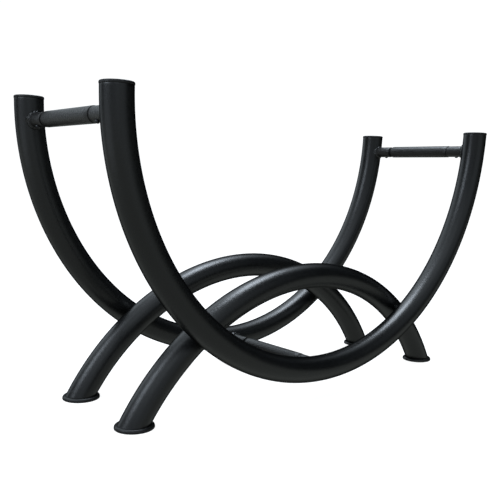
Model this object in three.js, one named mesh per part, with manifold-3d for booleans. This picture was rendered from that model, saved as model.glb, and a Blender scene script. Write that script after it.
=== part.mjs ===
// Firewood log rack. Two U-shaped cradle tubes hold the logs, and each is welded to an
// arched leg tube just inside it. Three crossbars join the front and rear frames: one
// near each pair of tube tops and one under the bottom of the cradle. Each crossbar
// plugs into short stubs that are welded to the cradles, and a screw under each stub
// holds it. Plastic caps close the tube tops, and oval feet close the legs.
//
// Millimetres, +Z up. The origin is on the floor under the middle of the rack.
// X runs along the rack, Y across it. Front is -Y, rear is +Y, left is -X, right is +X.

import * as THREE from "three";
import { mergeVertices } from "three/addons/utils/BufferGeometryUtils.js";
import Module from "manifold-3d";

const wasm = await Module();
wasm.setup();

// ---------------------------------------------------------- frame tube and bends
const FRAME_TUBE_OD = 50.8;
const FRAME_TUBE_WALL = 1.6;
const CRADLE_BEND_RADIUS = 484; // to the centre of the tube
const LEG_BEND_RADIUS = 484; // to the centre of the tube
const CRADLE_STRAIGHT = 3.1; // straight tube above each end of the cradle bend
const CRADLE_SPACING = 294; // front cradle to rear cradle, centre to centre
const FLOOR_CLEARANCE = 30.3; // floor to the underside of the cradles
const LEG_ARCH_HEIGHT = 232.5; // floor to the centre of the tube at the top of the arch
const LEG_TO_CRADLE_GAP = 3.5; // air between the two tubes where they cross

// ---------------------------------------------------------- crossbars and stubs
const BAR_OD = 27;
const STUB_OD = 25.4;
const BAR_WALL = 1.5; // bars and stubs
const TOP_BAR_DROP = 34.5; // end of the cradle bend down to the middle of a top crossbar
const STUB_REACH = 38; // cradle surface to the joint
const FRONT_JOINT_GAP = 0.6; // open line between a stub and its crossbar
const REAR_JOINT_GAP = 7.5; // the crossbars are pushed up against the front stubs
const PLUG_LENGTH = 26; // reduced end of a crossbar, inside its stub
const PLUG_CLEARANCE = 0.3; // all round the plug
const SHOULDER_SLOPE = 3; // length over which the bore of a crossbar narrows

// ----------------------------------------------------------------- screws
const SCREW_SHANK_D = 4;
const SCREW_SHANK_LENGTH = 7;
const SCREW_HEAD_D = 7.8;
const SCREW_HEAD_HEIGHT = 2.8;
const SCREW_HEAD_BEVEL = 1.2;
const SCREW_SOCKET_D = 3;
const SCREW_SOCKET_DEPTH = 1.4;
const SCREW_INSET = 18; // end of the stub to the middle of the screw
const SCREW_TURN = 27; // degrees out from straight down, on the top crossbars
const SCREW_HOLE_CLEARANCE = 0.35; // all round the shank

// ----------------------------------------------------------------- top caps
const TOP_CAP_LIP = 0.5; // cap wider than the tube, all round
const TOP_CAP_HEIGHT = 4.7;
const TOP_CAP_ROUND = 2;
const TOP_SPIGOT_LENGTH = 20;

// ----------------------------------------------------------------- feet
const FOOT_LIP = 6.2; // pad wider than the cut leg, all round
const FOOT_HEIGHT = 7;
const FOOT_TOP_ROUND = 3.2;
const FOOT_BOTTOM_ROUND = 2;
const FOOT_SPIGOT_HEIGHT = 24; // above the pad

const SPIGOT_WALL = 2.5; // caps and feet
const SPIGOT_CLEARANCE = 0.4; // all round, to the bore of the frame tube

// ----------------------------------------------------------------- welds
const STUB_WELD_LEG = 3.6; // up the stub, and out over the cradle
const STUB_WELD_BULGE = 0.65; // how full the bead is: 0.5 is a flat face
const CROSS_WELD_LENGTH = 34; // along X
const CROSS_WELD_HEIGHT = 26; // along Z
const CROSS_WELD_DEPTH = 24; // along Y, before the two tubes are cut out of it
const CROSS_WELD_DROP = 3; // middle of the bead below the crossing

const FIT_GAP = 0.3; // between faces that meet

// ------------------------------------------------- how finely curves are divided
const TUBE_SIDES = 24;
const BORE_SIDES = 12;
const BAR_SIDES = 16;
const SCREW_SIDES = 10;
const CRADLE_STEPS = 36;
const LEG_STEPS = 26;

// ------------------------------------------------------------ sizes that follow
const FRAME_RADIUS = FRAME_TUBE_OD / 2;
const FRAME_BORE = FRAME_RADIUS - FRAME_TUBE_WALL;
const SPIGOT_RADIUS = FRAME_BORE - SPIGOT_CLEARANCE;
const BAR_RADIUS = BAR_OD / 2;
const BAR_BORE = BAR_RADIUS - BAR_WALL;
const STUB_RADIUS = STUB_OD / 2;
const STUB_BORE = STUB_RADIUS - BAR_WALL;
const PLUG_RADIUS = STUB_BORE - PLUG_CLEARANCE;
const SCREW_HOLE_RADIUS = SCREW_SHANK_D / 2 + SCREW_HOLE_CLEARANCE;

const CRADLE_Y = CRADLE_SPACING / 2;
const LEG_OFFSET = FRAME_TUBE_OD + LEG_TO_CRADLE_GAP; // cradle to leg, centre to centre
const CRADLE_CENTRE_Z = FLOOR_CLEARANCE + FRAME_RADIUS + CRADLE_BEND_RADIUS;
const CRADLE_END_Z = CRADLE_CENTRE_Z + CRADLE_STRAIGHT;
const LEG_CENTRE_Z = LEG_ARCH_HEIGHT - LEG_BEND_RADIUS;
const LEG_FLOOR_ANGLE = Math.acos(-LEG_CENTRE_Z / LEG_BEND_RADIUS);

const TOP_BAR_Z = CRADLE_CENTRE_Z - TOP_BAR_DROP;
const TOP_BAR_X = Math.sqrt(CRADLE_BEND_RADIUS ** 2 - TOP_BAR_DROP ** 2);
const BOTTOM_BAR_Z = CRADLE_CENTRE_Z - CRADLE_BEND_RADIUS;

// Along each stub, from the middle of its cradle tube to the open end.
const STUB_END = FRAME_RADIUS + STUB_REACH;

// Where a cradle and its leg cross, seen from the front.
const CROSS_Z =
  (CRADLE_CENTRE_Z ** 2 - LEG_CENTRE_Z ** 2 - CRADLE_BEND_RADIUS ** 2 + LEG_BEND_RADIUS ** 2) /
  (2 * (CRADLE_CENTRE_Z - LEG_CENTRE_Z));
const CROSS_X = Math.sqrt(LEG_BEND_RADIUS ** 2 - (CROSS_Z - LEG_CENTRE_Z) ** 2);

// ------------------------------------------------------------------ materials
const steelPaint = () =>
  new THREE.MeshStandardMaterial({ color: 0x232525, roughness: 0.55, metalness: 0.1 });
const weldPaint = () =>
  new THREE.MeshStandardMaterial({ color: 0x2a2c2c, roughness: 0.45, metalness: 0.1 });
const blackPlastic = () =>
  new THREE.MeshStandardMaterial({ color: 0x161718, roughness: 0.6, metalness: 0 });
const blackScrew = () =>
  new THREE.MeshStandardMaterial({ color: 0x1c1d1f, roughness: 0.35, metalness: 0.8 });

// ---------------------------------------------------------------- solid helpers
// A closed geometry as a solid that can be joined and cut.
function solid(geometry) {
  const plain = geometry.clone();
  plain.deleteAttribute("normal");
  plain.deleteAttribute("uv");
  const merged = mergeVertices(plain, 1e-3);
  const mesh = new wasm.Mesh({
    numProp: 3,
    vertProperties: Float32Array.from(merged.attributes.position.array),
    triVerts: Uint32Array.from(merged.index.array),
  });
  return new wasm.Manifold(mesh);
}

// A solid back as a geometry.
function geometryOf(shape) {
  const mesh = shape.getMesh();
  const geometry = new THREE.BufferGeometry();
  geometry.setAttribute("position", new THREE.BufferAttribute(mesh.vertProperties, 3));
  geometry.setIndex(new THREE.BufferAttribute(mesh.triVerts, 1));
  geometry.computeVertexNormals();
  return geometry;
}

// ------------------------------------------------------------------- bent tubes
// A round bend in the upright plane at one Y. It runs the same angle to each side of
// its middle, which is its lowest point (side -1) or its highest (side +1), and then
// straight on for a little way at both ends.
class Bend extends THREE.Curve {
  constructor(radius, centreZ, side, halfAngle, straight, y) {
    super();
    Object.assign(this, { radius, centreZ, side, halfAngle, straight, y });
  }

  getPoint(t, target = new THREE.Vector3()) {
    const along = (2 * t - 1) * (this.halfAngle + this.straight / this.radius);
    const angle = THREE.MathUtils.clamp(along, -this.halfAngle, this.halfAngle);
    const past = this.radius * (along - angle);
    const x = this.radius * Math.sin(angle) + past * Math.cos(angle);
    const rise = this.radius * Math.cos(angle) - past * Math.sin(angle);
    return target.set(x, this.y, this.centreZ + this.side * rise);
  }
}

function cradlePath() {
  return new Bend(CRADLE_BEND_RADIUS, CRADLE_CENTRE_Z, -1, Math.PI / 2, CRADLE_STRAIGHT, 0);
}

// The leg bend runs on below the floor, so that a level cut takes all of the tube.
function legPath(y) {
  const spare = FRAME_TUBE_OD / LEG_BEND_RADIUS;
  return new Bend(LEG_BEND_RADIUS, LEG_CENTRE_Z, 1, LEG_FLOOR_ANGLE + spare, 0, y);
}

function circle(radius, sides) {
  const points = [];
  for (let i = 0; i < sides; i += 1) {
    const angle = (2 * Math.PI * i) / sides;
    points.push(new THREE.Vector2(radius * Math.cos(angle), radius * Math.sin(angle)));
  }
  return points;
}

function tubeAlong(path, steps, radius, sides, bore) {
  const section = new THREE.Shape(circle(radius, sides));
  if (bore > 0) {
    section.holes.push(new THREE.Path(circle(bore, BORE_SIDES)));
  }
  return new THREE.ExtrudeGeometry(section, { steps, extrudePath: path, bevelEnabled: false });
}

// Full rods that neighbours are cut back by: a cradle or a leg with the fit gap added.
const cradleCutter = () =>
  solid(tubeAlong(cradlePath(), CRADLE_STEPS, FRAME_RADIUS + FIT_GAP, TUBE_SIDES, 0));
const legCutter = (y) =>
  solid(tubeAlong(legPath(y), LEG_STEPS, FRAME_RADIUS + FIT_GAP, TUBE_SIDES, 0));

// The half of the rack on one side of its middle, from one height to another.
function sideSlab(side, low, high) {
  const reach = 4 * LEG_BEND_RADIUS;
  const box = new THREE.BoxGeometry(reach, reach, high - low);
  box.translate((side * reach) / 2, 0, (low + high) / 2);
  return solid(box);
}

const cradleTube = () =>
  tubeAlong(cradlePath(), CRADLE_STEPS, FRAME_RADIUS, TUBE_SIDES, FRAME_BORE);

function legTube() {
  const long = solid(tubeAlong(legPath(0), LEG_STEPS, FRAME_RADIUS, TUBE_SIDES, FRAME_BORE));
  const bottom = -LEG_BEND_RADIUS;
  const top = FOOT_HEIGHT + FIT_GAP;
  return geometryOf(long.subtract(sideSlab(-1, bottom, top)).subtract(sideSlab(1, bottom, top)));
}

// X of the middle of the leg tube at one height.
const legX = (height) => Math.sqrt(LEG_BEND_RADIUS ** 2 - (height - LEG_CENTRE_Z) ** 2);

// --------------------------------------------------------------- turned pieces
// A round piece along Y from [radius, height] corners.
function turned(corners, sides) {
  return new THREE.LatheGeometry(corners.map(([r, h]) => new THREE.Vector2(r, h)), sides);
}

// The same, standing along Z.
const turnedUpright = (corners, sides) => turned(corners, sides).rotateX(Math.PI / 2);

// Corners of a rounded edge. The angle is 0 outward and 90 degrees up.
function roundedEdge(centreRadius, centreHeight, radius, from, to, steps) {
  const corners = [];
  for (let i = 0; i <= steps; i += 1) {
    const angle = THREE.MathUtils.degToRad(from + ((to - from) * i) / steps);
    const r = centreRadius + radius * Math.cos(angle);
    corners.push([r, centreHeight + radius * Math.sin(angle)]);
  }
  return corners;
}

// ----------------------------------------------------------------- caps and feet
// A hollow spigot that follows the bend of its tube, between two heights.
function spigot(path, steps, side, low, high) {
  const rod = tubeAlong(path, steps, SPIGOT_RADIUS, BORE_SIDES, SPIGOT_RADIUS - SPIGOT_WALL);
  return solid(rod).intersect(sideSlab(side, low, high));
}

// A round lid over the end of a cradle tube, with its spigot in the bore.
function topCap(side) {
  const edge = FRAME_RADIUS + TOP_CAP_LIP - TOP_CAP_ROUND;
  const top = FIT_GAP + TOP_CAP_HEIGHT;
  const lid = turnedUpright([
    [0, FIT_GAP],
    [FRAME_RADIUS + TOP_CAP_LIP, FIT_GAP],
    ...roundedEdge(edge, top - TOP_CAP_ROUND, TOP_CAP_ROUND, 0, 90, 3),
    [0, top],
  ], TUBE_SIDES);
  lid.translate(side * CRADLE_BEND_RADIUS, 0, CRADLE_END_Z);
  const low = CRADLE_END_Z - TOP_SPIGOT_LENGTH;
  const plug = spigot(cradlePath(), CRADLE_STEPS, side, low, CRADLE_END_Z);
  const lift = FIT_GAP + TOP_CAP_ROUND / 2; // up into the lid
  return geometryOf(solid(lid).add(plug.translate(0, 0, lift)));
}

// An oval pad with rounded edges under the level-cut leg, with a hollow spigot that
// follows the bend up into the bore.
function foot(side) {
  const halfWidth = FRAME_RADIUS + FOOT_LIP;
  const halfLength = FRAME_RADIUS / Math.sin(LEG_FLOOR_ANGLE) + FOOT_LIP;
  const topEdge = halfWidth - FOOT_TOP_ROUND;
  const topRound = FOOT_HEIGHT - FOOT_TOP_ROUND;
  const pad = turnedUpright([
    [0, 0],
    ...roundedEdge(halfWidth - FOOT_BOTTOM_ROUND, FOOT_BOTTOM_ROUND, FOOT_BOTTOM_ROUND, -90, 0, 2),
    ...roundedEdge(topEdge, topRound, FOOT_TOP_ROUND, 0, 90, 3),
    [0, FOOT_HEIGHT],
  ], TUBE_SIDES);
  pad.scale(halfLength / halfWidth, 1, 1);
  pad.translate(side * legX(FOOT_HEIGHT), 0, 0);
  const top = FOOT_HEIGHT + FOOT_SPIGOT_HEIGHT;
  const plug = spigot(legPath(0), LEG_STEPS, side, FOOT_HEIGHT / 2, top);
  return geometryOf(solid(pad).add(plug));
}

// ---------------------------------------------------------- stubs and crossbars
// The hole through one side of a stub for its screw. A turn of 0 is straight down.
function screwHole(x, y, z, turn) {
  const hole = new THREE.CylinderGeometry(
    SCREW_HOLE_RADIUS, SCREW_HOLE_RADIUS, STUB_OD, SCREW_SIDES);
  hole.rotateX(Math.PI / 2);
  hole.translate(0, 0, -STUB_RADIUS);
  hole.rotateY(turn);
  hole.translate(x, y, z);
  return solid(hole);
}

// A stub lies along Y from the cradle to the joint, and its end is shaped to the tube.
function stub(x, z, turn) {
  const pipe = turned([
    [STUB_BORE, 0],
    [STUB_RADIUS, 0],
    [STUB_RADIUS, STUB_END],
    [STUB_BORE, STUB_END],
    [STUB_BORE, 0],
  ], BAR_SIDES);
  pipe.translate(x, 0, z);
  return geometryOf(solid(pipe)
    .subtract(cradleCutter())
    .subtract(screwHole(x, STUB_END - SCREW_INSET, z, turn)));
}

// A crossbar is full size between its two joints and drawn down to a plug at each end.
function crossbar(turn) {
  const plugBore = PLUG_RADIUS - BAR_WALL;
  const frontJoint = STUB_END - CRADLE_Y;
  const rearJoint = CRADLE_Y - STUB_END;
  const frontShoulder = frontJoint + FRONT_JOINT_GAP;
  const rearShoulder = rearJoint - REAR_JOINT_GAP;
  const pipe = turned([
    [PLUG_RADIUS, frontJoint - PLUG_LENGTH],
    [PLUG_RADIUS, frontShoulder],
    [BAR_RADIUS, frontShoulder],
    [BAR_RADIUS, rearShoulder],
    [PLUG_RADIUS, rearShoulder],
    [PLUG_RADIUS, rearJoint + PLUG_LENGTH],
    [plugBore, rearJoint + PLUG_LENGTH],
    [plugBore, rearShoulder - BAR_WALL],
    [BAR_BORE, rearShoulder - BAR_WALL - SHOULDER_SLOPE],
    [BAR_BORE, frontShoulder + BAR_WALL + SHOULDER_SLOPE],
    [plugBore, frontShoulder + BAR_WALL],
    [plugBore, frontJoint - PLUG_LENGTH],
    [PLUG_RADIUS, frontJoint - PLUG_LENGTH],
  ], BAR_SIDES);
  return geometryOf(solid(pipe)
    .subtract(screwHole(0, frontJoint - SCREW_INSET, 0, turn))
    .subtract(screwHole(0, rearJoint + SCREW_INSET, 0, turn)));
}

// A screw on a stub whose middle is at the origin. Its shank points at the middle.
function screw(turn) {
  const head = SCREW_HEAD_D / 2;
  const socket = SCREW_SOCKET_D / 2;
  const shank = SCREW_SHANK_D / 2;
  const upright = turnedUpright([
    [0, SCREW_SOCKET_DEPTH - SCREW_HEAD_HEIGHT],
    [socket, SCREW_SOCKET_DEPTH - SCREW_HEAD_HEIGHT],
    [socket, -SCREW_HEAD_HEIGHT],
    [head - SCREW_HEAD_BEVEL, -SCREW_HEAD_HEIGHT],
    [head, SCREW_HEAD_BEVEL - SCREW_HEAD_HEIGHT],
    [head, 0],
    [shank, 0],
    [shank, SCREW_SHANK_LENGTH],
    [0, SCREW_SHANK_LENGTH],
  ], SCREW_SIDES);
  return upright.translate(0, 0, -STUB_RADIUS - FIT_GAP).rotateY(turn);
}

// ------------------------------------------------------------------------ welds
// How far the surface of a cradle stands out towards the middle of the rack.
function cradleSurface(x, z) {
  const across = Math.hypot(x, z - CRADLE_CENTRE_Z) - CRADLE_BEND_RADIUS;
  return Math.sqrt(FRAME_RADIUS ** 2 - across ** 2);
}

// A ring of weld round a stub. Each of its points is moved with the surface of the
// cradle under it, and what is then inside the cradle is cut away.
function stubWeld(x, z) {
  const inner = STUB_RADIUS + FIT_GAP;
  const full = STUB_WELD_LEG * STUB_WELD_BULGE;
  const ring = turned([
    [inner, -STUB_WELD_LEG],
    [inner + STUB_WELD_LEG, -STUB_WELD_LEG],
    [inner + STUB_WELD_LEG, FIT_GAP],
    [inner + full, full],
    [inner, STUB_WELD_LEG],
    [inner, -STUB_WELD_LEG],
  ], BAR_SIDES);
  ring.translate(x, 0, z);
  const points = ring.attributes.position;
  for (let i = 0; i < points.count; i += 1) {
    points.setY(i, points.getY(i) + cradleSurface(points.getX(i), points.getZ(i)));
  }
  return geometryOf(solid(ring).subtract(cradleCutter()));
}

// The weld that fills the space between a cradle and its leg where they cross.
function crossWeld(side) {
  const blob = new THREE.SphereGeometry(1, 14, 8);
  blob.rotateX(Math.PI / 2);
  blob.scale(CROSS_WELD_LENGTH / 2, CROSS_WELD_DEPTH / 2, CROSS_WELD_HEIGHT / 2);
  blob.translate(side * CROSS_X, LEG_OFFSET / 2, CROSS_Z - CROSS_WELD_DROP);
  return geometryOf(solid(blob).subtract(cradleCutter()).subtract(legCutter(LEG_OFFSET)));
}

// --------------------------------------------------------------------- assembly
function piece(name, geometry, material, x = 0, y = 0, z = 0) {
  const mesh = new THREE.Mesh(geometry, material);
  mesh.name = name;
  mesh.position.set(x, y, z);
  return mesh;
}

const outward = THREE.MathUtils.degToRad(SCREW_TURN);
const bars = [
  { name: "left", x: -TOP_BAR_X, z: TOP_BAR_Z, turn: outward },
  { name: "right", x: TOP_BAR_X, z: TOP_BAR_Z, turn: -outward },
  { name: "bottom", x: 0, z: BOTTOM_BAR_Z, turn: 0 },
];

// One frame: a cradle, its leg and all that is on them. It is drawn with the cradle at
// Y = 0 and the middle of the rack towards +Y. The rear frame is the same, turned round.
function frame(end, y, facing) {
  const group = new THREE.Group();
  group.add(piece(`${end}_cradle_tube`, cradleTube(), steelPaint()));
  group.add(piece(`${end}_leg_tube`, legTube(), steelPaint(), 0, LEG_OFFSET, 0));
  for (const side of [-1, 1]) {
    const place = `${end}_${side * facing < 0 ? "left" : "right"}`;
    group.add(piece(`${place}_top_cap`, topCap(side), blackPlastic()));
    group.add(piece(`${place}_foot`, foot(side), blackPlastic(), 0, LEG_OFFSET, 0));
    group.add(piece(`${place}_leg_weld`, crossWeld(side), weldPaint()));
  }
  for (const bar of bars) {
    const place = `${end}_${bar.name}`;
    const x = bar.x * facing;
    const turn = bar.turn * facing;
    const screwY = STUB_END - SCREW_INSET;
    group.add(piece(`${place}_stub`, stub(x, bar.z, turn), steelPaint()));
    group.add(piece(`${place}_stub_weld`, stubWeld(x, bar.z), weldPaint()));
    group.add(piece(`${place}_screw`, screw(turn), blackScrew(), x, screwY, bar.z));
  }
  group.position.y = y;
  group.rotation.z = facing > 0 ? 0 : Math.PI;
  return group;
}

const rack = new THREE.Group();
rack.add(frame("front", -CRADLE_Y, 1));
rack.add(frame("rear", CRADLE_Y, -1));
for (const bar of bars) {
  rack.add(piece(`${bar.name}_crossbar`, crossbar(bar.turn), steelPaint(), bar.x, 0, bar.z));
}

export default rack;
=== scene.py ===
# %% [markdown]
# # A firewood log rack, finished in Blender
# The rack is bent steel tube under a matte black powder coat. Two U-shaped cradles hold
# the logs, and each is welded to an arched leg. Three crossbars tie the front frame to
# the rear one. The packed CAD model gives every size and place, and this lesson puts a
# finely made, finished piece where each CAD solid is.
#
# Everything is in metres, +Z up. X runs along the rack and Y across it, front at -Y.

# %% Load the frame
from math import acos, asin, cos, hypot, pi, radians, sin, sqrt

import bpy
from mathutils import Matrix, Vector


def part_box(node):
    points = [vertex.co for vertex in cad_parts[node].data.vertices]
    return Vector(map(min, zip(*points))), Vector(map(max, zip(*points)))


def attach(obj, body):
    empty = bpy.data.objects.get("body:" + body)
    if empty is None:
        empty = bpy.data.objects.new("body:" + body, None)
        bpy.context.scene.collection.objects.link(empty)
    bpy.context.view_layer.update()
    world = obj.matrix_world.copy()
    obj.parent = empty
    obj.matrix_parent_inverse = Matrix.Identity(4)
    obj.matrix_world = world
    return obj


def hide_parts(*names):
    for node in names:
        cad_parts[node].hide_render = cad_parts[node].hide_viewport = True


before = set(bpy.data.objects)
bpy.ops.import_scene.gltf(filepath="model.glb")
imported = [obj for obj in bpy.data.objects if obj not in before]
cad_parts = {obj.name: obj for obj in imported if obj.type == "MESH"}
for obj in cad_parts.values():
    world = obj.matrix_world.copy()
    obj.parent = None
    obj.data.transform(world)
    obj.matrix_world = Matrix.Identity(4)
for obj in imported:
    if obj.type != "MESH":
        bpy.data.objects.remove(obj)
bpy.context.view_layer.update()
MM = 0.001
print("CAD nodes:", len(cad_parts))

# %% [markdown]
# ## The sizes that everything shares
# A bent-tube rack is described by a few numbers: the tube's diameter, the radius of its
# bends, and where the bends' centres are. They can be read back from the boxes of the
# CAD nodes, which keeps this file in step with the model. A cradle is half a circle with
# a few straight millimetres at each end, so its box gives its tube radius (half its
# thickness in Y), its bend radius, the centre of its bend and the height of its ends.

# %% Read the tube sizes from the CAD boxes
low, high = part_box("front_cradle_tube")
TUBE = (high.y - low.y) / 2
CRADLE_Y = -(high.y + low.y) / 2
BEND = high.x - TUBE
CRADLE_CENTRE = low.z + TUBE + BEND
CRADLE_END = high.z
print(f"tube radius {TUBE / MM:.1f} mm, bend radius {BEND / MM:.1f} mm")

low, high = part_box("front_leg_tube")
LEG_Y = -(high.y + low.y) / 2
LEG_CENTRE = high.z - TUBE - BEND  # the centre of the leg bend is below the floor
LEG_CUT = low.z

low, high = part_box("left_crossbar")
BAR = (high.z - low.z) / 2
TOP_BAR_X, TOP_BAR_Z = -(high.x + low.x) / 2, (high.z + low.z) / 2
low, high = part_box("bottom_crossbar")
BOTTOM_BAR_Z = (high.z + low.z) / 2
low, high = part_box("front_bottom_stub")
STUB = (high.z - low.z) / 2
print(f"crossbar radius {BAR / MM:.1f} mm, top bars at z {TOP_BAR_Z / MM:.1f} mm")

WALL = 1.6 * MM  # of the frame tubes, and the next is that of the stubs and crossbars
BAR_WALL = 1.5 * MM

# %% [markdown]
# ## The camera
# The rack is seen from its front left, a little above the tops of the legs, with the
# camera turned slightly about its own line of sight. The view is slightly off the
# middle of the lens, which the camera's shift gives. Building the camera's matrix from
# its three directions is the plainest way to include that small roll.

# %% Place the camera
def look(place, yaw, pitch, roll, lens, shift):
    yaw, pitch, roll = radians(yaw), radians(pitch), radians(roll)
    ahead = Vector((sin(yaw) * cos(pitch), cos(yaw) * cos(pitch), sin(pitch)))
    level = Vector((cos(yaw), -sin(yaw), 0))
    upright = level.cross(ahead)
    right = level * cos(roll) + upright * sin(roll)
    up = upright * cos(roll) - level * sin(roll)
    data = bpy.data.cameras.new("camera")
    data.sensor_width = 36
    data.lens = lens
    data.shift_x, data.shift_y = shift
    data.clip_end = 100
    camera = bpy.data.objects.new("camera", data)
    turn = Matrix((right, up, -ahead)).transposed().to_4x4()
    camera.matrix_world = Matrix.Translation(place) @ turn
    bpy.context.scene.collection.objects.link(camera)
    return camera


camera = look(
    place=Vector((-0.9910, -0.9901, 0.4139)),
    yaw=40.18, pitch=-9.413, roll=2.221,
    lens=47.74, shift=(0.0604, 0.0822),
)
bpy.context.scene.camera = camera
bpy.context.scene.view_settings.view_transform = "Standard"
print("camera at", [round(v, 3) for v in camera.location])

# %% [markdown]
# ## Shader maths as plain expressions
# A procedural finish is a small sum: some noise, scaled and added to a base value. Nodes
# for that are tedious to wire one by one, so `Out` wraps a node's output and lets Python
# write the sum.

# %% Expressions that add nodes
class Out:
    def __init__(self, recipe, socket):
        self.recipe, self.socket = recipe, socket

    def maths(self, operation, first, second):
        return self.recipe.node("ShaderNodeMath", {"operation": operation}, {0: first, 1: second})

    def __add__(self, other):
        return self.maths("ADD", self, other)

    def __sub__(self, other):
        return self.maths("SUBTRACT", self, other)

    def __rsub__(self, other):
        return self.maths("SUBTRACT", other, self)

    def __mul__(self, other):
        return self.maths("MULTIPLY", self, other)

    __radd__ = __add__
    __rmul__ = __mul__


print("a node's output can now be added, subtracted and multiplied")

# %% [markdown]
# ## Nodes from a recipe
# Every other node is made the same way: from its type, its settings and what goes into
# its sockets. `Recipe.node` does that. The nodes that every finish here uses have a short
# form: noise, a blend of two colours, a bump from a height in millimetres, and the
# surface that they all feed.

# %% Recipes
class Recipe:
    def __init__(self, tree):
        self.tree = tree
        tree.nodes.clear()

    def node(self, kind, settings=None, sockets=None, output=0):
        node = self.tree.nodes.new(kind)
        for name, value in (settings or {}).items():
            setattr(node, name, value)
        for name, value in (sockets or {}).items():
            if isinstance(value, Out):
                self.tree.links.new(value.socket, node.inputs[name])
            else:
                node.inputs[name].default_value = value
        return Out(self, node.outputs[output]) if node.outputs else None

    def noise(self, where, scale, detail=2.0, roughness=0.5):
        return self.node(
            "ShaderNodeTexNoise", None,
            {"Vector": where, "Scale": scale, "Detail": detail, "Roughness": roughness})

    def blend(self, factor, first, second):
        return self.node(
            "ShaderNodeMix", {"data_type": "RGBA"},
            {"Factor": factor, "A": (*first, 1), "B": (*second, 1)}, output="Result")

    def bump(self, height, strength=1.0):
        return self.node(
            "ShaderNodeBump", None, {"Strength": strength, "Distance": MM, "Height": height})

    def principled(self, sockets):
        return self.node("ShaderNodeBsdfPrincipled", None, sockets)


def finish(name):
    """A new material, its recipe, and the place on the piece in the rack's own metres."""
    material = bpy.data.materials.new(name)
    material.use_nodes = True
    r = Recipe(material.node_tree)
    return material, r, r.node("ShaderNodeTexCoord", None, None, output="Object")


print("recipes can make:", [name for name in vars(Recipe) if not name.startswith("_")])

# %% [markdown]
# ## The powder coat
# Powder coat is sprayed on dry and melted in an oven. It flows together, but not quite
# flat: it keeps a fine grain, and under that a long, low ripple called orange peel. On a
# matte black coat those two are nearly all there is to see, since the colour is even and
# only the gloss changes a little from place to place. Both are made from noise in the
# rack's own metres, so the grain is the same size on every piece. A painted texture
# would need unwrapping and would show seams, and it would stretch along the bends.
#
# A tube also gets a thin dark outline, which a plain glossy shader wouldn't give. It is
# painted shade: a dull black mixed in by how nearly edge on the surface is.

# %% Painted dark edges
PAINTED_EDGE_START, PAINTED_EDGE_FULL = 0.45, 0.74  # how nearly edge on, from 0 (facing) to 1


# Painted shade: a dull black, mixed in towards the edges, draws a dark outline round each piece.
def with_painted_dark_edges(r, surface, painted_outline):
    painted_edge_black = (0.003, 0.003, 0.003, 1)
    painted_edge_shader = r.node("ShaderNodeBsdfDiffuse", None, {"Color": painted_edge_black, "Roughness": 1.0})
    edge_on = r.node("ShaderNodeLayerWeight", None, {"Blend": 0.5}, output="Facing")
    rim = r.node(
        "ShaderNodeMapRange", {"interpolation_type": "SMOOTHSTEP"},
        {"Value": edge_on, "From Min": PAINTED_EDGE_START, "From Max": PAINTED_EDGE_FULL, "To Max": painted_outline})
    both = r.node("ShaderNodeMixShader", None, {0: rim, 1: surface, 2: painted_edge_shader})
    r.node("ShaderNodeOutputMaterial", None, {"Surface": both})


print("edges darken from", PAINTED_EDGE_START, "to", PAINTED_EDGE_FULL)

# %% Powder coat
def powder_coat(name, colour, gloss, grain, peel, painted_outline):
    material, r, where = finish(name)
    fine = r.noise(where, 1500, detail=3)
    ripple = r.noise(where, 260, detail=3)
    patches = r.noise(where, 9, detail=4)
    bump = r.bump(fine * grain + ripple * peel)
    shade = r.blend(patches, [c * 0.86 for c in colour], [c * 1.14 for c in colour])
    rough = gloss + (patches - 0.5) * 0.10 + (ripple - 0.5) * 0.22 + (fine - 0.5) * 0.12
    surface = r.principled({"Base Color": shade, "Roughness": rough, "Normal": bump, "IOR": 1.5})
    with_painted_dark_edges(r, surface, painted_outline)
    return material


coat = powder_coat(
    "powder coat", (0.0042, 0.0045, 0.0048), gloss=0.33, grain=0.05, peel=0.15, painted_outline=0.85)
coat_on_stub = powder_coat(
    "powder coat, coarse", (0.0078, 0.0071, 0.0070),
    gloss=0.32, grain=0.30, peel=0.90, painted_outline=0.35)
coat_on_weld = powder_coat(
    "powder coat on weld", (0.0055, 0.0058, 0.0060),
    gloss=0.14, grain=0.12, peel=1.30, painted_outline=0.40)
print("finishes:", [m.name for m in (coat, coat_on_stub, coat_on_weld)])

# %% [markdown]
# ## The moulded caps and feet
# The tube ends are closed by black plastic mouldings. Their surface comes from a spark
# eroded mould: an even, very fine stipple, a touch duller than the coat next to it.

# %% Moulded plastic
def moulded_plastic(name, colour, gloss):
    material, r, where = finish(name)
    stipple = r.node(
        "ShaderNodeTexVoronoi", {"feature": "SMOOTH_F1"}, {"Vector": where, "Scale": 900.0},
        output="Distance")
    cloud = r.noise(where, 35, detail=3)
    bump = r.bump(stipple * 0.05 + r.noise(where, 2600) * 0.03)
    shade = r.blend(cloud, [c * 0.8 for c in colour], [c * 1.2 for c in colour])
    rough = gloss + (cloud - 0.5) * 0.12
    surface = r.principled({"Base Color": shade, "Roughness": rough, "Normal": bump, "IOR": 1.46})
    # Painted shade here too: a dark outline along the edges of the moulding.
    with_painted_dark_edges(r, surface, painted_outline=0.8)
    return material


plastic = moulded_plastic("moulded plastic", (0.0050, 0.0052, 0.0055), gloss=0.46)
print("finish:", plastic.name)

# %% [markdown]
# ## The blackened screws
# A zinc screw is blackened in a bath, so it stays metal. It is dark and a little stained,
# and a very fine roughness breaks up what it mirrors.

# %% Blackened steel
def blackened_steel(name):
    material, r, where = finish(name)
    stain = r.noise(where, 700, detail=4)
    shade = r.blend(stain, (0.030, 0.030, 0.032), (0.075, 0.077, 0.082))
    bump = r.bump(r.noise(where, 4000) * 0.03, strength=0.6)
    rough = 0.30 + stain * 0.15
    surface = r.principled({
        "Base Color": shade, "Metallic": 1.0, "Roughness": rough, "Normal": bump})
    r.node("ShaderNodeOutputMaterial", None, {"Surface": surface})
    return material


screw_steel = blackened_steel("blackened steel")
print("finish:", screw_steel.name)
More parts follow.
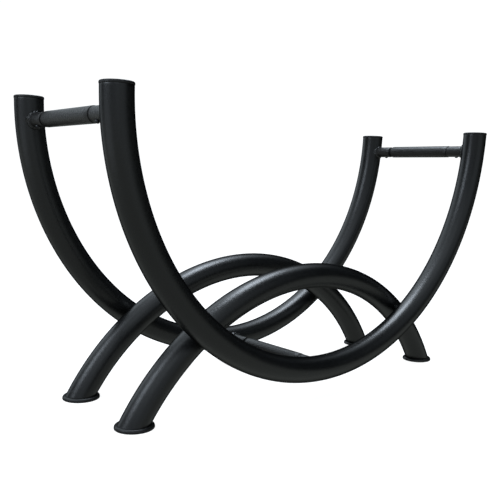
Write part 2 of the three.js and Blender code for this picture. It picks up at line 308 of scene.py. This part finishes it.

# %% [markdown]
# ## The plugs
# The drawn-down ends of the crossbars get a darker, duller finish than the coat. That
# dark is painted shade: a ring of it shows as a black line wherever a bar stands away
# from its stub.

# %% Dark plug steel, painted shade
def plug_steel_painted_shade(name):
    material, r, where = finish(name)
    scale = r.noise(where, 260, detail=5, roughness=0.6)
    shade = r.blend(scale, (0.0012, 0.0012, 0.0013), (0.0050, 0.0048, 0.0046))
    bump = r.bump(r.noise(where, 1800) * 0.08)
    rough = 0.72 + scale * 0.2
    surface = r.principled({"Base Color": shade, "Roughness": rough, "Normal": bump, "IOR": 1.3})
    r.node("ShaderNodeOutputMaterial", None, {"Surface": surface})
    return material


plug_painted_shade = plug_steel_painted_shade("plug steel, painted shade")
print("finish:", plug_painted_shade.name)

# %% [markdown]
# ## Skins over rings
# Every round piece here can be drawn as rings of points joined by four-sided faces: a
# bent tube, a cap, a weld bead. One helper joins the rings. A loop of rings closes on
# itself, like the outside and the bore of a tube, and a ring of one point makes a pole.
# `skin` then puts the piece where a CAD solid is and names that solid.

# %% Join rings into a piece
def joined(name, rings, loop, material):
    points, faces, starts = [], [], []
    for ring in rings:
        starts.append(len(points))
        points.extend(ring)
    pairs = list(zip(range(len(rings)), range(1, len(rings))))
    if loop:
        pairs.append((len(rings) - 1, 0))
    for a, b in pairs:
        na, nb = len(rings[a]), len(rings[b])
        for i in range(max(na, nb)):
            j = (i + 1) % max(na, nb)
            near = (starts[a] + i % na, starts[a] + j % na)
            far = (starts[b] + j % nb, starts[b] + i % nb)
            faces.append(list(dict.fromkeys(near + far)))
    mesh = bpy.data.meshes.new(name)
    mesh.from_pydata([tuple(p) for p in points], [], faces)
    mesh.validate()
    mesh.polygons.foreach_set("use_smooth", [True] * len(mesh.polygons))
    mesh.materials.append(material)
    piece = bpy.data.objects.new(name, mesh)
    bpy.context.scene.collection.objects.link(piece)
    return piece


SHARP = 35  # degrees


def skin(node, rings, loop, material, sharp=SHARP):
    piece = joined(f"{node}_finished", rings, loop, material)
    piece.data.set_sharp_from_angle(angle=radians(sharp))
    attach(piece, "root")
    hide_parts(node)
    return piece


print("a bend of over", SHARP, "degrees between two faces stays sharp")

# %% [markdown]
# ## The cradle tubes
# A tube bender leaves a true half circle of tube with its ends sawn square and the saw
# burr filed off. A curve object with a round bevel would draw the outside, but not the
# wall or the filed rim. So the tube is rings of points: along the outside, over the rim,
# back through the bore and over the other rim.

# %% Bent tube with a wall
SIDES = 64
BEND_STEPS, BORE_STEPS = 140, 48
SAW_RIM = 0.5 * MM


def cradle_ring(share, radius, y, lift=0.0):
    """A ring round the cradle, from its left end (-1) to its right end (1) of the bend."""
    ring = []
    for i in range(SIDES):
        turn = 2 * pi * i / SIDES
        out = BEND + radius * cos(turn)
        angle = share * pi / 2
        height = CRADLE_CENTRE - out * cos(angle) + lift
        ring.append((out * sin(angle), y + radius * sin(turn), height))
    return ring


def cradle_tube(end, y):
    bore, straight = TUBE - WALL, CRADLE_END - CRADLE_CENTRE
    edge = [(straight - SAW_RIM, 0.0), (straight - 0.3 * SAW_RIM, 0.3), (straight, 1.0)]
    rings = [cradle_ring(-1 + 2 * i / BEND_STEPS, TUBE, y) for i in range(BEND_STEPS + 1)]
    rings += [cradle_ring(1, TUBE - SAW_RIM * inset, y, lift) for lift, inset in edge]
    rings += [cradle_ring(1, bore, y, straight)]
    rings += [cradle_ring(1 - 2 * i / BORE_STEPS, bore, y) for i in range(BORE_STEPS + 1)]
    rings += [cradle_ring(-1, bore, y, straight)]
    rings += [cradle_ring(-1, TUBE - SAW_RIM * inset, y, lift) for lift, inset in reversed(edge)]
    return skin(f"{end}_cradle_tube", rings, True, coat)


for end, side in (("front", -1), ("rear", 1)):
    tube = cradle_tube(end, side * CRADLE_Y)
    print(tube.name, len(tube.data.polygons), "faces")

# %% [markdown]
# ## The leg tubes
# A leg is bent on the same former, then both ends are sawn level so that it stands flat.
# The saw cut runs across the slanting tube, which makes its end an oval. Each line of
# points along the tube stops where it meets the cut, so the last ring lies exactly in it.

# %% Arched tube, cut level
LEG_STEPS, LEG_BORE_STEPS = 110, 40


def leg_ring(share, radius, y):
    """A ring round the leg, from its left cut (-1) to its right cut (1)."""
    ring = []
    for i in range(SIDES):
        turn = 2 * pi * i / SIDES
        out = BEND + radius * cos(turn)
        angle = share * acos((LEG_CUT - LEG_CENTRE) / out)
        ring.append((out * sin(angle), y + radius * sin(turn), LEG_CENTRE + out * cos(angle)))
    return ring


def leg_tube(end, y):
    bore = TUBE - WALL
    rings = [leg_ring(-1 + 2 * i / LEG_STEPS, TUBE, y) for i in range(LEG_STEPS + 1)]
    rings += [leg_ring(1 - 2 * i / LEG_BORE_STEPS, bore, y) for i in range(LEG_BORE_STEPS + 1)]
    return skin(f"{end}_leg_tube", rings, True, coat)


for end, side in (("front", -1), ("rear", 1)):
    tube = leg_tube(end, side * LEG_Y)
    print(tube.name, len(tube.data.polygons), "faces")

# %% [markdown]
# ## The caps on the tube tops
# Each cap is a moulded lid on a hollow spigot that grips the bore. Its rim is rounded,
# and it stands a hair proud of the tube, which leaves the thin line seen under it. A
# turned profile is the natural way to draw it.

# %% Turned pieces
def turned_rings(profile, centre, sides=SIDES, stretch=1.0, axis="Z"):
    """Rings from (radius, height) steps along an axis, drawn out in X by stretch."""
    rings = []
    for radius, height in profile:
        ring = []
        for i in range(sides if radius > 0 else 1):
            turn = 2 * pi * i / sides
            a, b = radius * cos(turn), radius * sin(turn)
            step = (a * stretch, b, height) if axis == "Z" else (b * stretch, height, a)
            ring.append(tuple(c + s for c, s in zip(centre, step)))
        rings.append(ring)
    return rings


def rounded(radius, height, size, start, stop, steps):
    """An arc of a profile, about a centre, from one angle to another in degrees."""
    angles = [radians(start + (stop - start) * i / steps) for i in range(steps + 1)]
    return [(radius + size * cos(a), height + size * sin(a)) for a in angles]


def top_cap(place, x, y):
    low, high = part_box(f"{place}_top_cap")
    edge = (high.y - low.y) / 2
    top = high.z - CRADLE_END
    spigot = TUBE - WALL - 0.7 * MM
    hollow, depth = spigot - 2.5 * MM, 19 * MM
    seam, lip, shoulder = 0.3 * MM, 0.5 * MM, 2.0 * MM
    profile = [(0, seam), (hollow, seam), (hollow, -depth)]
    profile += [(spigot - 0.8 * MM, -depth), (spigot, -depth + 1 * MM), (spigot, seam)]
    profile += rounded(edge - lip, seam + lip, lip, -90, 0, 4)
    profile += rounded(edge - shoulder, top - shoulder - 0.25 * MM, shoulder, 0, 78, 8)
    profile += [(edge * 0.6, top - 0.06 * MM), (edge * 0.3, top), (0, top)]
    rings = turned_rings(profile, (x, y, CRADLE_END))
    return skin(f"{place}_top_cap", rings, False, plastic)


for end, sy in (("front", -1), ("rear", 1)):
    for side, sx in (("left", -1), ("right", 1)):
        cap = top_cap(f"{end}_{side}", sx * BEND, sy * CRADLE_Y)
print("top caps made, each", len(cap.data.polygons), "faces")

# %% [markdown]
# ## The feet
# A foot is an oval moulding a little wider than the cut leg, so that the rack doesn't
# mark the hearth. It has a thin lip along the floor, a faint line over it where the two
# halves of the mould met, and a full rounded shoulder that runs up to the steel. Inside
# the leg, its hollow spigot follows the bend.

# %% Oval feet
SPIGOT_STEPS, SPIGOT_STEP, SPIGOT_WALL = 4, 5.5 * MM, 2.2 * MM


def leg_x(height):
    return sqrt(BEND ** 2 - (height - LEG_CENTRE) ** 2)


def foot(place, sx, y):
    low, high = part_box(f"{place}_foot")
    half_width = (high.y - low.y) / 2
    lip = half_width - TUBE
    lean = sqrt(1 - (LEG_CENTRE / BEND) ** 2)
    half_length = TUBE / lean + lip
    centre_x = (high.x if sx > 0 else low.x) - sx * half_length
    top = LEG_CUT - 0.3 * MM
    spigot = TUBE - WALL - 0.9 * MM
    rim, seam, shoulder = 1.4 * MM, 0.3 * MM, 4.2 * MM
    profile = [(0, 0)]
    profile += rounded(half_width - rim, rim, rim, -90, 20, 6)
    profile += [(half_width - seam, 2.1 * MM)]
    profile += rounded(half_width - shoulder, top - shoulder, shoulder - 0.1 * MM, -8, 72, 8)
    profile += [(TUBE + 1.0 * MM, top - 0.05 * MM), (TUBE + 0.1 * MM, top), (spigot, top)]
    rings = turned_rings(profile, (centre_x, y, 0), stretch=half_length / half_width)
    outside = [(step, spigot) for step in range(1, SPIGOT_STEPS + 1)]
    inside = [(step, spigot - SPIGOT_WALL) for step in range(SPIGOT_STEPS, -1, -1)]
    for step, radius in outside + inside:
        height = top + SPIGOT_STEP * step
        middle = centre_x + sx * (leg_x(height) - leg_x(top))
        rings += turned_rings([(radius, height)], (middle, y, 0), stretch=1 / lean)
    rings += [[(centre_x, y, top)]]
    return skin(f"{place}_foot", rings, False, plastic)


for end, sy in (("front", -1), ("rear", 1)):
    for side, sx in (("left", -1), ("right", 1)):
        pad = foot(f"{end}_{side}", sx, sy * LEG_Y)
print("feet made, each", len(pad.data.polygons), "faces")

# %% [markdown]
# ## The stubs
# The crossbars come off for packing. Each plugs into a short stub that is welded to the
# cradle, and its end is drawn down to fit, which leaves a step and a dark line where the
# two meet. A stub's end at the cradle is cut to the round of it, so each line of points
# along the stub starts on the cradle's surface.

# %% Where the stubs and crossbars are
BARS = {
    "left": (-TOP_BAR_X, TOP_BAR_Z),
    "right": (TOP_BAR_X, TOP_BAR_Z),
    "bottom": (0.0, BOTTOM_BAR_Z),
}
BAR_SIDES = 48


def face_of_bend(x, z, centre):
    """How far a bent tube's surface stands out from the plane of its middle line."""
    off = hypot(x, z - centre) - BEND
    return sqrt(max(TUBE ** 2 - off ** 2, 0))


def cradle_face(x, z):
    """How far from the middle of the rack the cradle's inner surface is."""
    return CRADLE_Y - face_of_bend(x, z, CRADLE_CENTRE)


print(f"cradle's inner face {cradle_face(0, BOTTOM_BAR_Z) / MM:.1f} mm from the middle")

# %% Stubs
def stub(place, sy, x, z):
    low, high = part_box(f"{place}_stub")
    mouth = low.y if sy > 0 else -high.y
    bore, rim, sunk = STUB - BAR_WALL, 0.5 * MM, 0.4 * MM

    def ring(share, radius, push=0.0):
        points = []
        for i in range(BAR_SIDES):
            turn = 2 * pi * i / BAR_SIDES
            px, pz = x + radius * sin(turn), z + radius * cos(turn)
            start = cradle_face(px, pz) + sunk
            points.append((px, sy * (start + (mouth + push - start) * share), pz))
        return points

    rings = [ring(i / 6, STUB) for i in range(6)]
    rings += [ring(1, STUB, rim), ring(1, STUB - 0.3 * rim, 0.3 * rim), ring(1, STUB - rim, 0)]
    rings += [ring(1, bore), ring(0, bore)]
    if sy < 0:
        rings.reverse()
    return skin(f"{place}_stub", rings, True, coat_on_stub)


print(f"stubs have a radius of {STUB / MM:.1f} mm and a wall of {BAR_WALL / MM:.1f} mm")

# %% [markdown]
# ## The crossbars
# Each bar is pushed up against its front stub, so that the joint there is a fine line. At
# the rear it stands some millimetres away, and the drawn-down plug shows as a black ring.
# The bar is a turned piece lying along Y, with its bore wider in the middle than in the
# plugs. Its faces outside the two steps get the darker plug material, painted shade for
# the gap. Each bar is made with the two stubs that hold it.

# %% Crossbars
FRONT_JOINT, REAR_JOINT = 0.6 * MM, 7.5 * MM
PLUG_PLAY, PLUG_BEVEL = 0.3 * MM, 0.5 * MM


def crossbar(name, x, z):
    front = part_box(f"front_{name}_stub")[1].y + FRONT_JOINT
    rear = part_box(f"rear_{name}_stub")[0].y - REAR_JOINT
    low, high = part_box(f"{name}_crossbar")
    plug, rim = STUB - BAR_WALL - PLUG_PLAY, 0.8 * MM
    bore = plug - BAR_WALL
    profile = [(plug - PLUG_BEVEL, low.y), (plug, low.y + PLUG_BEVEL), (plug, front)]
    profile += [(BAR - rim, front), (BAR - 0.3 * rim, front + 0.3 * rim), (BAR, front + rim)]
    profile += [(BAR, front + (rear - front) * i / 10) for i in range(1, 10)]
    profile += [(BAR, rear - rim), (BAR - 0.3 * rim, rear - 0.3 * rim), (BAR - rim, rear)]
    profile += [(plug, rear), (plug, high.y - PLUG_BEVEL), (plug - PLUG_BEVEL, high.y)]
    profile += [(bore, high.y), (bore, rear - 2 * MM), (BAR - BAR_WALL, rear - 5 * MM)]
    profile += [(BAR - BAR_WALL, front + 5 * MM), (bore, front + 2 * MM), (bore, low.y)]
    rings = turned_rings(profile, (x, 0, z), sides=BAR_SIDES, axis="Y")
    piece = skin(f"{name}_crossbar", rings, True, coat_on_stub)
    # The plug faces get the darker plug material, painted shade for the gap at each joint.
    piece.data.materials.append(plug_painted_shade)
    for face in piece.data.polygons:
        if not front - 0.1 * MM < face.center.y < rear + 0.1 * MM:
            face.material_index = 1
    return piece


for name, (x, z) in BARS.items():
    bar = crossbar(name, x, z)
    for end, sy in (("front", -1), ("rear", 1)):
        made = stub(f"{end}_{name}", sy, x, z)
    print(bar.name, len(bar.data.polygons), "faces, its stubs", len(made.data.polygons), "each")

# %% [markdown]
# ## The weld beads
# A hand weld round a stub is a row of small overlapping puddles. Its width wanders, and
# the powder over it stays glossier than on the tube. The bead is a ring of short curved
# sections that rides over the saddle where the two tubes meet. Each section swells and
# shrinks along the bead, for the puddles, with slow sines of unlike length for the hand.

# %% Beads round the stubs
def wander(turn, seed):
    """Slow sines of unlike length, between -1 and 1, for the unsteady hand."""
    slow, middle = sin(3 * turn + seed), sin(5 * turn + 2.1 * seed)
    quick = sin(8 * turn + 3.7 * seed)
    return (slow + 0.7 * middle + 0.5 * quick) / 2.2


def stub_weld(place, sy, x, z, seed):
    steps, across = 144, 10
    base, sunk, root = STUB - 0.25 * MM, 0.25 * MM, 1.2 * MM
    rings = []
    for i in range(steps):
        turn = 2 * pi * i / steps
        puddle = abs(sin(7 * turn + 0.9 * sin(2 * turn + seed) + 0.5 * sin(5 * turn)))
        size = 3.8 * MM * (1 + 0.22 * wander(turn, seed))
        up, out = size * 1.25, size * (0.98 + 0.16 * wander(turn + 1, seed))
        ring = []
        for k in range(across + 1):
            t = k / across
            bulge = 0.08 * sin(pi * t) + 0.24 * puddle * sin(pi * t) ** 2
            r = out * (t + bulge)
            h = up * (1 - t + bulge)
            px, pz = x + (base + r) * sin(turn), z + (base + r) * cos(turn)
            ring.append((px, sy * (cradle_face(px, pz) - h + sunk), pz))
        for r in (out, 0):
            px, pz = x + (base + r) * sin(turn), z + (base + r) * cos(turn)
            ring.append((px, sy * (cradle_face(px, pz) + root), pz))
        rings.append(ring if sy > 0 else ring[::-1])
    return skin(f"{place}_stub_weld", rings, True, coat_on_weld, sharp=60)


seed = 0.4
for end, sy in (("front", -1), ("rear", 1)):
    for name, (x, z) in BARS.items():
        seed += 1.7
        bead = stub_weld(f"{end}_{name}", sy, x, z, seed)
print("stub welds made, each", len(bead.data.polygons), "faces")

# %% [markdown]
# ## The welds between cradle and leg
# Where a cradle crosses its leg the two round tubes almost touch, and weld fills the
# narrow space and spreads a little up and down it. Its edge is hollow, as liquid metal
# drawn between two walls is. The bead is a stack of ovals from one tube to the other,
# narrowest in the middle.

# %% Crossing welds
def leg_face(x, z):
    """How far from the middle of the rack the leg's outer surface is."""
    return LEG_Y + face_of_bend(x, z, LEG_CENTRE)


def leg_weld(place, sy, seed):
    low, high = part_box(f"{place}_leg_weld")
    fit = 0.92  # leaves room in the CAD box for the ripples
    half_x, half_z = (high.x - low.x) / 2 * fit, (high.z - low.z) / 2 * fit
    mid_x, mid_z = (high.x + low.x) / 2, (high.z + low.z) / 2
    steps, levels = 96, 12
    sunk, pole = 0.3 * MM, 1 * MM
    rings = []
    for k in range(levels + 1):
        t = k / levels
        hollow = 1 - 0.22 * sin(pi * t)
        ring = []
        for i in range(steps):
            turn = 2 * pi * i / steps
            ripple = 1 + 0.05 * wander(turn, seed) + 0.03 * abs(sin(11 * turn + seed))
            px = mid_x + half_x * hollow * ripple * cos(turn)
            pz = mid_z + half_z * hollow * ripple * sin(turn)
            first, last = cradle_face(px, pz) + sunk, leg_face(px, pz) - sunk
            ring.append((px, sy * (first + (last - first) * t), pz))
        rings.append(ring)
    rings.insert(0, [(mid_x, sy * (cradle_face(mid_x, mid_z) + pole), mid_z)])
    rings.append([(mid_x, sy * (leg_face(mid_x, mid_z) - pole), mid_z)])
    if sy > 0:
        rings.reverse()
    return skin(f"{place}_leg_weld", rings, False, coat_on_weld, sharp=60)


for end, sy in (("front", -1), ("rear", 1)):
    for side in ("left", "right"):
        seed += 1.3
        bead = leg_weld(f"{end}_{side}", sy, seed)
print("crossing welds made, each", len(bead.data.polygons), "faces")

# %% [markdown]
# ## The screws
# A low button-headed screw in each stub holds its crossbar. The head is domed, with a
# six-sided socket for the key. On the top bars it is turned a little outwards, where a
# key reaches it, so it shows as a small round dot near the bar's lower edge. The screw
# is drawn as if it pointed straight up, then turned about the middle line of its bar.

# %% Button-head screws
SCREW_SIDES = 36


def screw(place, x, z):
    low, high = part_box(f"{place}_screw")
    y, head = (low.y + high.y) / 2, (high.y - low.y) / 2
    across, down = (low.x + high.x) / 2 - x, z - (low.z + high.z) / 2
    turn = Matrix.Rotation(-asin(across / hypot(across, down)), 4, "Y")
    seat = -(STUB + 0.3 * MM)
    socket, socket_floor, socket_mouth = 1.5 * MM, 1.4 * MM, 2.7 * MM
    shank, length = 2 * MM, 7 * MM
    rings = [[(0, 0, seat - socket_floor)]]
    for depth, size in ((socket_floor, socket), (socket_mouth, socket + 0.05 * MM)):
        ring = []
        for i in range(SCREW_SIDES):
            angle = 2 * pi * i / SCREW_SIDES
            flat = size * cos(pi / 6) / cos((angle % (pi / 3)) - pi / 6)
            ring.append((flat * cos(angle), flat * sin(angle), seat - depth))
        rings.append(ring)
    profile = [(0.54 * head, -2.75 * MM), (0.70 * head, -2.5 * MM), (0.85 * head, -2.0 * MM)]
    profile += [(0.95 * head, -1.3 * MM), (head, -0.6 * MM), (head, -0.15 * MM), (0.96 * head, 0)]
    profile += [(shank, 0), (shank, length - 0.4 * MM), (shank - 0.4 * MM, length), (0, length)]
    rings += turned_rings(profile, (0, 0, seat), sides=SCREW_SIDES)
    rings = [[tuple(turn @ Vector(p) + Vector((x, y, z))) for p in ring] for ring in rings]
    return skin(f"{place}_screw", rings, False, screw_steel)


for end in ("front", "rear"):
    for name, (x, z) in BARS.items():
        made = screw(f"{end}_{name}", x, z)
print("screws made, each", len(made.data.polygons), "faces")

# %% [markdown]
# ## The studio
# The stage is a wide pale dish: a flat floor that curves up into a wall far away, so
# that no horizon shows. It glows softly by itself and takes the rack's faint shadow. The
# rack doesn't mirror it, which keeps the undersides of black tubes dark.

# %% Floor and backdrop
floor_material, r, _ = finish("pale floor")
paper = r.node("ShaderNodeBsdfDiffuse", None, {"Color": (0.30, 0.30, 0.30, 1)})
glow = r.node("ShaderNodeEmission", None, {"Color": (1, 1, 1, 1), "Strength": 0.93})
both = r.node("ShaderNodeAddShader", None, {0: paper, 1: glow})
r.node("ShaderNodeOutputMaterial", None, {"Surface": both})

profile = [(0, 0), (1.5, 0), (3, 0), (5, 0)]
profile += [(5 + 3 * sin(radians(a)), 3 - 3 * cos(radians(a))) for a in range(6, 91, 6)]
profile += [(8, 6)]
floor = joined("floor", turned_rings(profile, (0, 0, 0), sides=96), False, floor_material)
floor.visible_glossy = False
floor.visible_diffuse = False
floor.visible_shadow = False
print("floor made,", len(floor.data.polygons), "faces")

# %% [markdown]
# ## The light
# Black paint is drawn by what it reflects, so the lights are placed for the streaks they
# leave. The main softbox hangs high over the far side. Its light skims the tops of the
# arches and of the crossbars, and a wider one behind it softens the streak's edge. A
# third stands close on the left, so that the left-hand pieces get more of it. Two weak
# ones below it and in front of it round off the legs.

# %% Softboxes
def toward_light(azimuth, height):
    """The direction at an angle round from +X and an angle up from level, in degrees."""
    azimuth, height = radians(azimuth), radians(height)
    return Vector((cos(azimuth) * cos(height), sin(azimuth) * cos(height), sin(height)))


MIDDLE = Vector((0, 0, 0.25))
DAYLIGHT = (0.80, 0.89, 1.0)


def softbox(name, place, size, brightness):
    data = bpy.data.lights.new(name, "AREA")
    data.shape = "SQUARE"
    data.size = size
    data.energy = brightness * size ** 2 * pi
    data.color = DAYLIGHT
    light = bpy.data.objects.new(name, data)
    light.location = place
    light.rotation_euler = (MIDDLE - place).to_track_quat("-Z", "Y").to_euler()
    bpy.context.scene.collection.objects.link(light)


DISTANCE = 2.2
softbox("high softbox", MIDDLE + toward_light(30, 76) * DISTANCE, size=0.9, brightness=11.5)
softbox("wide softbox", MIDDLE + toward_light(48, 63) * DISTANCE, size=1.0, brightness=3.0)
softbox("left softbox", Vector((-1.8, 0.2, 1.5)), size=0.9, brightness=4.6)
softbox("low left softbox", Vector((-1.8, 0.1, 0.6)), size=1.2, brightness=0.55)
softbox("front left softbox", Vector((-1.9, -1.6, 1.1)), size=1.9, brightness=0.36)

# %% [markdown]
# ## The room
# The rest of the light comes from the room: pale below, where the paper would be
# mirrored, and soft patches of bright wall and ceiling. A patch fades out smoothly with
# the angle from its middle, so it leaves no edge in the paint. Dark stays dark to the
# lower right, and that keeps the right-hand sides of the tubes deep.

# %% The room
world = bpy.data.worlds.new("room")
bpy.context.scene.world = world
world.use_nodes = True
r = Recipe(world.node_tree)
where = r.node("ShaderNodeTexCoord", None, None, output="Generated")


def patch(direction, start, end):
    """Rises from 0 to 1 as the view turns to face a direction."""
    along = r.node(
        "ShaderNodeVectorMath", {"operation": "DOT_PRODUCT"},
        {0: where, 1: tuple(direction)}, output="Value")
    return r.node(
        "ShaderNodeMapRange", {"interpolation_type": "SMOOTHSTEP"},
        {"Value": along, "From Min": start, "From Max": end})


HIGH_LEVEL = 1.08
paper_light = patch((0, 0, -1), -0.02, 0.12) * 0.36
walls = patch(toward_light(-90, 25), 0.71, 1.0) * 0.50
walls += patch(toward_light(90, 25), 0.71, 1.0) * 1.15
ceiling = patch(toward_light(-135, 60), 0.77, 1.0) * 0.80
ceiling += patch(toward_light(135, 60), 0.77, 1.0) * 0.58
ceiling += patch(toward_light(45, 60), 0.77, 1.0) * 0.90
low_light = r.node("ShaderNodeBackground", None, {
    "Color": (0.93, 1.0, 0.96, 1), "Strength": paper_light})
high_light = r.node("ShaderNodeBackground", None, {
    "Color": (0.82, 0.92, 1.0, 1), "Strength": (walls + ceiling) * HIGH_LEVEL})
both = r.node("ShaderNodeAddShader", None, {0: low_light, 1: high_light})
r.node("ShaderNodeOutputWorld", None, {"Surface": both})
patches = [n for n in world.node_tree.nodes if n.type == "MAP_RANGE"]
print("the room has", len(patches), "soft patches of light")
